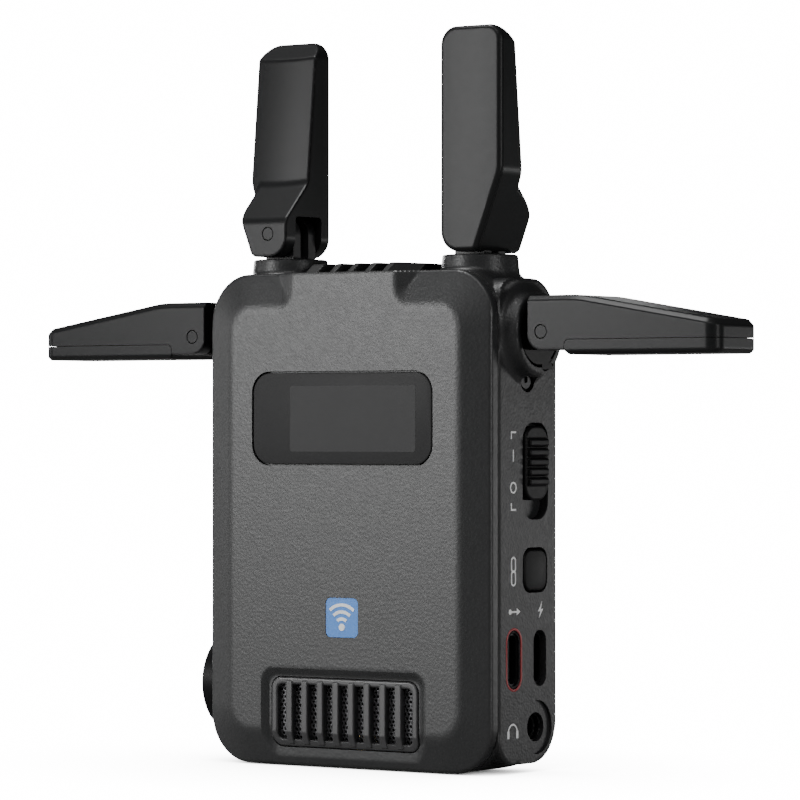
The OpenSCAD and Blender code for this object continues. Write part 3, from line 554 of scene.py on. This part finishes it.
def build_housing():
    obj = solid("housing_shell", housing_field,
                (-COLLAR_OUT, HOUSE_Y, 0), (COLLAR_OUT, BACK_Y, BOSS_TOP), 0.4)
    inside = HALF_W - 4
    outside = HALF_W + 1
    ring = mm_box("data_port_ring")
    power = mm_box("power_port")
    knob_lo, knob_hi = mm_box("power_switch_knob")
    slot_low = knob_hi[2] - SWITCH_SLOT_H
    switch_slot = round_outline(knob_lo[1] - 0.42, knob_hi[1] + 0.42, slot_low, knob_hi[2] + 0.6, 3.0)
    button = mm_box("link_button")
    screw = mm_box("side_screws")
    insert = mm_box("bottom_insert")
    jack = [sum(c) / 2 for c in zip(*mm_box("headphone_jack"))]
    vent = mm_box("top_vent")
    cutters = [
        prism(round_box(ring, 1, 2, (0.03, 0.03), 2.5), 0, inside, outside),
        prism(round_box(power, 1, 2, (0.35, 0.33), 1.9), 0, inside, outside),
        prism(circle_outline(JACK_Y, jack[2], JACK_R), 0, inside - 1, outside),
        prism(circle_outline(JACK_Y - 0.25, jack[2], 4.6), 0, HALF_W - 0.5, outside),
        prism(switch_slot, 0, inside, outside),
        prism(round_box(button, 1, 2, (0.1, 0.15), 2.2), 0, inside, outside),
        prism(round_outline(*DISPLAY_SLOT, 0.5), 0, -outside, -inside),
        prism(circle_outline(*VIDEO_PORT), 0, -outside, -inside),
        prism(round_outline(-VENT_HALF - 0.1, VENT_HALF + 0.1, HOUSE_Y + 1.6, vent[1][1] + 0.1, 0.4),
              2, HEIGHT - 4, HEIGHT + 1),
        prism(round_outline(*REAR_COVER, 3.1), 1, BACK_Y - 1.2, BACK_Y + 1),
        prism(round_outline(*REAR_ROOM, 2.0), 1, BACK_Y - 3, BACK_Y),
        prism(circle_outline(0, (insert[0][1] + insert[1][1]) / 2, 4.5), 2, -1, 7),
    ]
    _, screw_y, screw_z = [(a + b) / 2 for a, b in zip(*screw)]
    key = round_outline(HUB_Y + 0.7, HUB_Y + 4.0, SIDE_BASE[2] - 9, SIDE_BASE[2] - 5, 0.3)
    pocket = round_outline(screw_y - 2.2, screw_y + 2.2, screw_z - 2.2, screw_z + 2.8, 2.19)
    for sign in (-1, 1):
        boss_seat = circle_outline(sign * abs(PIN_TOP[0]), HUB_Y, SEAT_R)
        cutters.append(prism(boss_seat, 2, BOSS_TOP - SEAT_DEEP, BOSS_TOP + 1))
        deep = sorted((sign * (COLLAR_OUT - SEAT_DEEP), sign * (COLLAR_OUT + 1)))
        cutters.append(prism(circle_outline(HUB_Y, SIDE_BASE[2], SEAT_R), 0, *deep))
        shallow = sorted((sign * (COLLAR_OUT - 1.6), sign * (COLLAR_OUT + 1)))
        cutters.append(prism(key, 0, *shallow))
        ends = sorted((sign * (HALF_W - 0.98), sign * (HALF_W + 1.6)))
        cutters.append(prism(pocket, 0, *ends))
    carve(obj, cutters)
    smooth(obj, 32)
    return place(obj, SIDE, "case", "side_shell", "housing")


# ---------------------------------------------------------------- the vent between the bosses
VENT_HALF = 12.2        # half its width
VENT_SLOTS = 4
VENT_PITCH = 3.72
VENT_SLOT = 2.5
VENT_FIRST = -8.3       # centre of the first slot
VENT_END = VENT_FIRST + (VENT_SLOTS - 0.5) * VENT_PITCH + VENT_SLOT / 4    # where the closed end starts
VENT_FALL = 0.052       # slope of the closed end's roof


def vent_field(x, y, z):
    """A low roof, level over the slots and falling a little at the closed end."""
    (_, y0, _), (_, y1, z1) = mm_box("top_vent")
    roof = z - z1 + VENT_FALL * np.maximum(x - VENT_END, 0)
    front = -line(y, z, (y0, HEIGHT), (y0 + 2.7, z1))
    back = -line(y, z, (y1 - 1.5, z1), (y1, HEIGHT + 0.6))
    body = meet(meet(roof, front, 0.25), back, 0.4)
    body = meet(meet(body, between(y, y0, y1), 0.1), np.abs(x) - VENT_HALF, 0.2)
    body = meet(body, HEIGHT - 2.0 - z, 0.0)
    near = np.clip(np.round((x - VENT_FIRST) / VENT_PITCH), 0, VENT_SLOTS - 1) * VENT_PITCH + VENT_FIRST
    slot = meet(np.abs(x - near) - VENT_SLOT / 2, between(y, y0 + 0.5, y1 - 0.9), 0.0)
    return cut(body, slot, 0.1)


def build_vent():
    lo, hi = mm_box("top_vent")
    ribs = solid("top_vent_ribs", vent_field, (lo[0], lo[1], HEIGHT - 2), hi, 0.2)
    # painted shade: the closed end is a copy in black, darker than the ribs' grey, for the shade over that
    # end of the vent
    end = copy_of(ribs, "top_vent_painted_shade_end")
    carve(ribs, [prism(round_outline(VENT_END, 30, -20, 20, 0.5), 2, 70, 95)])
    carve(end, [prism(round_outline(-30, VENT_END + 0.02, -20, 20, 0.5), 2, 70, 95)])
    place(smooth(ribs, 35), VENT, "case", "black_plastic", "top_vent")
    place(smooth(end, 35), BLACK, "case", "black_plastic", "top_vent")


# ---------------------------------------------------------------- the pieces on the port side
KNOB_RIBS = 5
KNOB_PITCH = 1.66
KNOB_FIRST = 3.15       # height of the lowest rib above the knob's lower end
KNOB_BAR = 0.6          # half the height of a rib
KNOB_CORNER = 2.6
RED_RIM = 0.36          # width of the red line round the data socket


def knob_field(x, y, z):
    (_, y0, z0), (x1, y1, z1) = mm_box("power_switch_knob")
    middle = (y0 + y1) / 2
    outline = rect(y, z, y0, y1, z0, z1, KNOB_CORNER)
    plate = meet(outline, between(x, HALF_W - 1.6, HALF_W + 0.35), 0.35)
    row = z - z0 - KNOB_FIRST
    near = np.clip(np.round(row / KNOB_PITCH), 0, KNOB_RIBS - 1) * KNOB_PITCH
    bar = rect(x, row - near, HALF_W - 1, x1, -KNOB_BAR, KNOB_BAR, 0.3)
    bars = meet(bar, np.abs(y - middle) - 3.0, 0.35)
    grip = meet(join(plate, bars, 0.25), outline, 0.0)
    tab = rect(y, z, middle - 0.8, middle + 0.8, 51.5, 53, 0.0)
    return join(grip, meet(tab, between(x, HALF_W - 3.3, HALF_W - 1.5), 0.0), 0.0)


def jack_field(x, y, z):
    """A socket barrel with a stepped bore."""
    height = sum(c[2] for c in mm_box("headphone_jack")) / 2
    out = np.hypot(y - JACK_Y, z - height)
    barrel = meet(out - JACK_R, between(x, HALF_W - 9, HALF_W - 1.1), 0.15)
    bore = meet(out - 1.8, HALF_W - 8 - x, 0.0)
    step = meet(out - 2.15, HALF_W - 2.2 - x, 0.0)
    return cut(barrel, np.minimum(bore, step), 0.15)


def build_side_details():
    whole = mm_box("data_port_ring")
    x0, x1 = whole[0][0], whole[1][0]
    ring = prism(round_box(whole, 1, 2, (0, 0), 2.45), 0, x1 - 0.4, x1)
    carve(ring, [prism(round_box(whole, 1, 2, (-RED_RIM, -RED_RIM), 2.1), 0, x0 - 1, x1 + 1)])
    ring.name = "data_port_red_rim"
    place(smooth(ease(ring, 0.06, 2), 35), RED, "case", "ring_red", "data_port_ring")
    sleeve = prism(round_box(whole, 1, 2, (-RED_RIM, -RED_RIM), 2.1), 0, x0, x1 - 0.15)
    carve(sleeve, [prism(round_box(mm_box("data_port"), 1, 2, (0.02, 0.02), 1.62), 0, x0 - 1, x1 + 1)])
    sleeve.name = "data_port_sleeve"
    place(smooth(ease(sleeve, 0.06, 2), 35), BLACK, "case", "black_plastic", "data_port_ring")
    button = mm_box("link_button")
    cap = prism(round_box(button, 1, 2, (-0.22, -0.2), 2.0), 0, button[0][0], button[1][0] - 0.2)
    cap.name = "link_button_cap"
    place(smooth(ease(cap, 0.35, 4), 35), BLACK, "button", "black_plastic", "link_button")
    lo, hi = mm_box("headphone_jack")
    jack = solid("headphone_jack_barrel", jack_field, (HALF_W - 9, JACK_Y - 2.6, lo[2]),
                 (HALF_W - 1, JACK_Y + 2.6, hi[2]), 0.2)
    place(smooth(jack, 35), DEEP, "case", "black_plastic", "headphone_jack")


def build_knob():
    lo, hi = mm_box("power_switch_knob")
    knob = solid("power_switch_grip", knob_field, lo, hi, 0.13)
    place(smooth(knob, 35), BLACK, "switch", "black_plastic", "power_switch_knob")


# ---------------------------------------------------------------- antennas, drawn about their own pin
WIDE = HUB_Y - TOP_LO[1]            # half the width of an antenna along its pin
FORK = 3.8              # half the width of the fork slot
FORK_UP = 3.1           # how far the fork slot reaches from the pin
TOP_IN = TOP_HI[0] - PIN_TOP[0]
TOP_OUT = PIN_TOP[0] - TOP_LO[0] - 0.2
TOP_LOW = TOP_LO[2] - PIN_TOP[2]
TOP_HIGH = TOP_HI[2] - PIN_TOP[2]
BLADE_FOOT = (-0.45, 8.8)           # where the blade's front starts, as depth and height
BLADE_TIP = (2.05, TOP_HIGH)
LEAN_TOP = 9.5          # the outer side leans in from this height
LEAN_FOOT = -3.5        # down to this place on the underside
FALL_TOP = 2.4          # height at which the front starts to fall back to the blade
FALL_BEND = -6.2        # beyond this place the fall curves down
COVER_T = 1.1           # thickness of a top antenna's cover
SIDE_LOW = -3.1         # underside of a side antenna's shell, of its cover, then its top and its tip
SIDE_COVER_LOW = -3.9
SIDE_HIGH = 6.1
SIDE_END = 34.2
SIDE_BEND = 7.2         # place where a side antenna's top starts to slope, and the slope's height at the tip
SIDE_TIP = 1.6
SPLIT = -1.3            # parting line of the side antennas
LID_START = 4.6         # place where their cover starts
PIN_HOLE = 1.24
ANTENNA_STEP = 0.22     # mesh size of the antennas


def top_outline(x, z):
    inner = x - TOP_IN
    outer = -TOP_OUT - x
    lean = line(x, z, (-TOP_OUT, LEAN_TOP), (LEAN_FOOT, TOP_LOW))
    low = meet(TOP_LOW - z, inner, 3.6)
    sides = blend(meet(low, lean, 0.9), outer, 0.3)
    return meet(meet(sides, meet(z - TOP_HIGH, outer, 2.6), 0.0), meet(z - TOP_HIGH, inner, 3.2), 0.0)


def top_form_field(x, y, z):
    """y runs from the hub's centre plane to the cover's side."""
    across = ((x - (TOP_IN - TOP_OUT) / 2) / 6.5) ** 2
    edge = top_outline(x, z)
    blade = 0.32 * across - line(y, z, BLADE_FOOT, BLADE_TIP)
    lag = z + 1.6 * np.maximum(FALL_BEND - x, 0) ** 2
    fall = -line(y, lag, (-WIDE, FALL_TOP), BLADE_FOOT)
    face = blend(-blend(-fall, -blade, 0.6), -WIDE - y, 0.7)
    crown = -line(y, z, (2.3, TOP_HIGH - 2.6), (5.2, TOP_HIGH))
    body = meet(edge, face, 0.25)
    body = blend(body, crown, 0.3)
    dome = y - WIDE + 0.16 * across
    body = meet(body, dome, 0.15)
    return meet(body, (edge + dome + 0.5) / math.sqrt(2), 0.15)


def side_form_field(x, y, z):
    """x runs out from the hinge and y from the hub's centre plane."""
    slope = line(x, z, (SIDE_END, SIDE_TIP), (SIDE_BEND, SIDE_HIGH))
    wide = np.abs(y) - WIDE
    over = blend(slope, z - SIDE_HIGH, 0.3)
    under = np.clip((x - LID_START) / 0.6, 0, 1)
    floor = SIDE_LOW + (SIDE_COVER_LOW - SIDE_LOW) * under
    profile = meet(meet(-2.7 - x, floor - z, 2.6), over, 0.15)
    plan = meet(x - SIDE_END, wide, 2.3)
    body = meet(profile, plan, 0.15)
    body = meet(body, (over + plan + 0.85) / math.sqrt(2), 0.12)
    low = (SIDE_COVER_LOW - z + plan + 0.6) / math.sqrt(2)
    return meet(body, low, 0.12)


def turned(obj, side, kind):
    """Puts an antenna piece on its own pin: side is -1 at the left and 1 at the right."""
    mesh = obj.data
    count = len(mesh.vertices)
    points = np.empty(count * 3)
    mesh.vertices.foreach_get("co", points)
    points = points.reshape(-1, 3)
    if kind == "top":
        if side > 0:
            points[:, :2] *= -1
        points += np.array([side * abs(PIN_TOP[0]), HUB_Y, PIN_TOP[2]]) * MM
    else:
        points[:, 0] *= side
        points += np.array([side * PIN_SIDE[0], HUB_Y, PIN_SIDE[2]]) * MM
    mesh.vertices.foreach_set("co", points.ravel())
    if kind == "side" and side < 0:
        mesh.flip_normals()
    mesh.update()
    return obj


def copy_of(obj, name):
    twin = bpy.data.objects.new(name, obj.data.copy())
    bpy.context.collection.objects.link(twin)
    return twin


def room_outline(x0, top, r, beyond):
    """Room of a side cover, seen along the pin: it starts at x0 with a rounded corner."""
    arc = [(x0 + r - r * math.cos(math.radians(a)), top - r + r * math.sin(math.radians(a)))
           for a in range(0, 91, 10)]
    return [(x0, -beyond)] + arc + [(60, top), (60, -beyond)]


def around_outline(x0, top, r, beyond):
    """Everything outside that room."""
    arc = room_outline(x0, top, r, beyond)[:-1]
    return arc + [(60, beyond), (-beyond, beyond), (-beyond, -beyond)]


def build_antennas():
    lo, hi = (-TOP_OUT - 0.1, -WIDE, TOP_LOW - 0.1), (TOP_IN + 0.1, WIDE, TOP_HIGH + 0.1)
    top_shell = solid("top_left_shell", top_form_field, lo, hi, ANTENNA_STEP)
    top_cover = copy_of(top_shell, "top_left_lid")
    split = WIDE - COVER_T
    carve(top_shell, [
        prism(round_outline(-20, 20, -20, 60, 1), 1, split, WIDE + 2),
        prism(round_outline(-FORK, FORK, -20, FORK_UP, 0.7), 0, -FORK_UP - 0.1, 20),
        prism(circle_outline(0, 0, PIN_HOLE), 1, -WIDE - 1, WIDE),
        prism(round_outline(-6.7, 1.9, 12, 31, 1.0), 1, 4.2, 6.0),
    ])
    carve(top_cover, [prism(round_outline(-20, 20, -20, 60, 1), 1, -WIDE - 2, split + 0.09)])
    side_shell = solid("side_left_shell", side_form_field, (-2.8, -WIDE, SIDE_COVER_LOW),
                       (SIDE_END, WIDE, SIDE_HIGH), ANTENNA_STEP)
    side_cover = copy_of(side_shell, "side_left_lid")
    carve(side_shell, [
        prism(room_outline(LID_START, SPLIT, 0.9, 20), 1, -WIDE - 2, WIDE + 2),
        prism(round_outline(-20, FORK_UP, -20, FORK_UP, 0.6), 1, -FORK, FORK),
        prism(circle_outline(0, 0, PIN_HOLE), 1, -WIDE - 1, WIDE + 1),
        prism(round_outline(6.6, 31.2, -4.85, 4.85, 0.5), 2, -2.3, 0.3),
    ])
    beside = around_outline(LID_START + 0.1, SPLIT - 0.1, 0.85, 20)
    carve(side_cover, [prism(beside, 1, -WIDE - 2, WIDE + 2)])
    for kind, shell, lid in (("top", top_shell, top_cover), ("side", side_shell, side_cover)):
        twins = copy_of(shell, f"{kind}_right_shell"), copy_of(lid, f"{kind}_right_lid")
        for side, name, pair in ((-1, "left", (shell, lid)), (1, "right", twins)):
            arm = f"{kind}_{name}"
            for piece, node in zip(pair, ("antenna", "cover")):
                smooth(turned(piece, side, kind), 28)
                place(piece, ANTENNA, f"{arm}_arm", "antenna_shell", f"{arm}_{node}")


# ---------------------------------------------------------------- CAD pieces that keep their shape
def soften(node, mat, width=0.12):
    """A CAD node with its own material and small rounded edges."""
    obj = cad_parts[node]
    for i in range(max(len(obj.material_slots), 1)):
        if obj.material_slots:
            obj.material_slots[i].material = mat
        else:
            obj.data.materials.append(mat)
    if width:
        edge = obj.modifiers.new("edge", "BEVEL")
        edge.width = width * MM
        edge.segments = 2
        edge.limit_method = "ANGLE"
        edge.angle_limit = math.radians(50)
    return obj


EDGES = {
    "link_badge": 0.08, "data_port": 0.1, "power_port": 0.1,
    "video_port_collar": 0.3, "video_port": 0.15, "rear_cover": 0.3, "side_screws": 0.12,
    "rear_screws": 0.12, "bottom_insert": 0.2, "heat_sink": 0.1, "shield_cans": 0.2,
    "top_left_base": 0.25, "top_right_base": 0.25, "side_left_base": 0.25, "side_right_base": 0.25,
}


def dress_cad_nodes():
    plan = {
        "rear_cover": SIDE, "case_gasket": RUBBER, "display_panel": CELL,
        "link_badge": BLUE, "badge_mark": WHITE,
        "data_port": SHELL, "power_port": SHELL,
        "power_switch_body": SIDE, "link_switch": STEEL,
        "side_markings": WHITE, "video_port_collar": BLACK, "video_port": NICKEL, "display_port": NICKEL,
        "main_board": BOARD, "port_board": BOARD, "shield_cans": STEEL, "heat_sink": SINK,
        "fan_housing": BLACK, "fan_rotor": BLACK, "fan_cover": BLACK, "bottom_insert": BRASS,
        "side_screws": SCREW, "rear_screws": SCREW, "board_screws": STEEL,
    }
    for arm in ("top_left", "top_right", "side_left", "side_right"):
        # painted shade: the side bases get a darker black than the top bases' grey, where they sit between
        # antenna and collar
        plan[f"{arm}_base"] = LUGS if arm.startswith("top") else DEEP
        plan[f"{arm}_pin"] = PIN
        plan[f"{arm}_element"] = COPPER
    for node, mat in plan.items():
        soften(node, mat, EDGES.get(node, 0.0))


build_front_cover()
build_front_details()
build_housing()
build_vent()
build_knob()
build_side_details()
build_antennas()
dress_cad_nodes()


# ---------------------------------------------------------------- floor, light and camera
SKY = 16.0              # how bright the floor and the backdrop look to the camera
AIM_HEIGHT = 0.055      # height at which the lights aim
CAMERA_TURN = 35         # degrees from the front to the camera


def add_floor():
    """Pale floor: it shows bright to the camera, with a painted shadow close under the unit, and lights
    nothing.
    """
    mesh = bpy.data.meshes.new("floor")
    bm = bmesh.new()
    bmesh.ops.create_grid(bm, x_segments=2, y_segments=2, size=4.0)
    bm.to_mesh(mesh)
    bm.free()
    floor = bpy.data.objects.new("floor", mesh)
    floor.location.z = -0.0002
    bpy.context.collection.objects.link(floor)
    mat = bpy.data.materials.new("floor_paint")
    mat.use_nodes = True
    nodes, links = mat.node_tree.nodes, mat.node_tree.links
    paint = nodes["Principled BSDF"]
    paint.inputs["Base Color"].default_value = (0.30, 0.30, 0.30, 1)
    paint.inputs["Roughness"].default_value = 0.9
    # painted shadow: ambient occlusion darkens the floor's glow close under the unit
    shade = nodes.new("ShaderNodeAmbientOcclusion")
    shade.inputs["Distance"].default_value = 0.05
    glow = nodes.new("ShaderNodeEmission")
    glow.inputs["Strength"].default_value = SKY
    path = nodes.new("ShaderNodeLightPath")
    mix = nodes.new("ShaderNodeMixShader")
    links.new(shade.outputs["Color"], glow.inputs["Color"])
    links.new(path.outputs["Is Camera Ray"], mix.inputs[0])
    links.new(paint.outputs["BSDF"], mix.inputs[1])
    links.new(glow.outputs["Emission"], mix.inputs[2])
    links.new(mix.outputs["Shader"], nodes["Material Output"].inputs["Surface"])
    floor.data.materials.append(mat)


def softbox(name, azimuth, elevation, distance, size, power, roll=0):
    """Rectangular light that faces the middle of the unit, rolled about its own axis."""
    data = bpy.data.lights.new(name, "AREA")
    data.shape = "RECTANGLE"
    data.size, data.size_y = size
    data.energy = power
    obj = bpy.data.objects.new(name, data)
    a, e = math.radians(azimuth), math.radians(elevation)
    aim = Vector((0, 0, AIM_HEIGHT))
    back = Vector((math.sin(a) * math.cos(e), -math.cos(a) * math.cos(e), math.sin(e)))
    obj.location = aim + back * distance
    turn = (-back).to_track_quat("-Z", "Y") @ Quaternion((0, 0, 1), math.radians(roll))
    obj.rotation_euler = turn.to_euler()
    bpy.context.collection.objects.link(obj)
    return obj


def add_stage():
    add_floor()
    softbox("key", -31, 10, 0.65, (0.16, 0.24), 2.8, -32)
    softbox("side", 147, -6, 0.8, (0.24, 0.16), 1.5)
    softbox("over", -62, 70, 0.7, (0.2, 0.2), 3.4)
    softbox("fill", 80, 8, 0.8, (0.2, 0.4), 2.2)
    softbox("front", 25, 50, 0.8, (0.25, 0.25), 1.6)
    softbox("left", -74, 4, 0.8, (0.2, 0.3), 0.7)
    softbox("rear", 236, 4, 0.8, (0.2, 0.3), 3.0)
    rim = softbox("rim", 214, 10, 0.8, (0.2, 0.12), 0.2)
    rim.visible_camera = False
    world = bpy.data.worlds.new("studio")
    world.use_nodes = True
    nodes, links = world.node_tree.nodes, world.node_tree.links
    back = nodes["Background"]
    back.inputs["Color"].default_value = (0.9, 0.9, 0.9, 1)
    back.inputs["Strength"].default_value = 0.02
    white = nodes.new("ShaderNodeBackground")
    white.inputs["Color"].default_value = (1, 1, 1, 1)
    white.inputs["Strength"].default_value = SKY
    path = nodes.new("ShaderNodeLightPath")
    mix = nodes.new("ShaderNodeMixShader")
    links.new(path.outputs["Is Camera Ray"], mix.inputs[0])
    links.new(back.outputs[0], mix.inputs[1])
    links.new(white.outputs[0], mix.inputs[2])
    links.new(mix.outputs[0], nodes["World Output"].inputs["Surface"])
    bpy.context.scene.world = world


def add_camera():
    """A level view from 35 degrees to the right of the front."""
    azimuth = math.radians(CAMERA_TURN)
    aim = Vector((0.00367 * math.cos(azimuth), 0.00367 * math.sin(azimuth), 0.0584))
    back = Vector((math.sin(azimuth), -math.cos(azimuth), 0))
    data = bpy.data.cameras.new("camera")
    data.sensor_width = 36
    data.lens = 36 * 5.27
    data.shift_y = 0.034
    obj = bpy.data.objects.new("camera", data)
    obj.location = aim + back * 0.7296
    obj.rotation_euler = (math.radians(90), 0, azimuth)
    bpy.context.collection.objects.link(obj)
    bpy.context.scene.camera = obj


add_stage()
add_camera()
